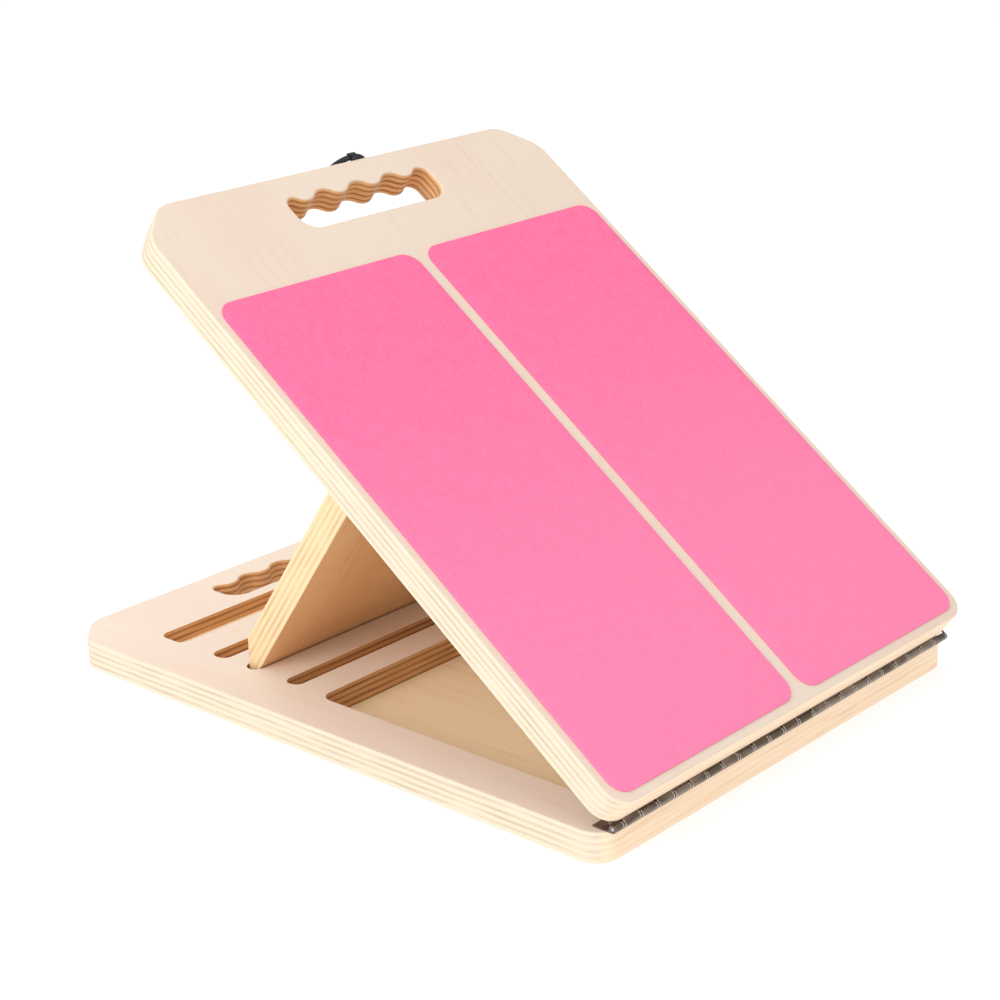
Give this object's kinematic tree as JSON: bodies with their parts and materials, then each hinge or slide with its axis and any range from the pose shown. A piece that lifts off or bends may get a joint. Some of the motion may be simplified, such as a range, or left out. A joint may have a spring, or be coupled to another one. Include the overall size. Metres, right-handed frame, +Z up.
{
  "type": "slant board",
  "caption": "Folding slant board: a hinged deck with two grip sheets, held at a slope by a prop panel whose foot stands in a slot in the base.",
  "frame": {"origin": "on the floor, in the middle of the base board's underside", "axes": "+Z up, +Y from the hinged front edge to the rear edge, +X across the board to the right seen from the front"},
  "size_m": [0.33, 0.4527, 0.3004],
  "materials": {
    "birch_plywood": "satin",
    "grip_sheet": "fine grit",
    "hinge_metal": "antique nickel",
    "hinge_pin_steel": "satin",
    "screw_steel": "satin",
    "black_rubber": "matte",
    "black_steel": "satin black"
  },
  "bodies": {
    "base": {"base_board": "birch_plywood", "main_hinge_base_leaf": "hinge_metal", "main_hinge_pin": "hinge_pin_steel", "main_hinge_base_screws": "screw_steel", "closing_stud": "screw_steel"},
    "deck": {"deck_board": "birch_plywood", "grip_pad_left": "grip_sheet", "grip_pad_right": "grip_sheet", "main_hinge_deck_leaf": "hinge_metal", "main_hinge_deck_screws": "screw_steel", "prop_hinge_deck_leaf": "hinge_metal", "prop_hinge_pin": "hinge_pin_steel", "prop_hinge_deck_screws": "screw_steel", "ring_hanger": "black_steel", "ring_hanger_screws": "screw_steel"},
    "prop": {"prop_panel": "birch_plywood", "prop_hinge_panel_leaf": "hinge_metal", "prop_hinge_panel_screws": "screw_steel"},
    "ring": {"closing_ring": "black_rubber"}
  },
  "joints": [
    {"name": "deck_tilt", "type": "hinge", "parent": "base", "child": "deck", "pos_m": [0, -0.2185, 0.0202], "axis": [1, 0, 0], "range_deg": [0, 133.3]},
    {"name": "prop_swing", "type": "hinge", "parent": "deck", "child": "prop", "pos_m": [0, -0.02788, 0.1644], "axis": [1, 0, 0], "range_deg": [-88.68, 0]},
    {"name": "ring_swing", "type": "hinge", "parent": "deck", "child": "ring", "pos_m": [0.013, 0.12074, 0.29763], "axis": [1, 0, 0], "range_deg": [0, 150]}
  ],
  "couplings": [
    {"joint": "prop_swing", "follows": "deck_tilt", "ratio": -0.665}
  ]
}
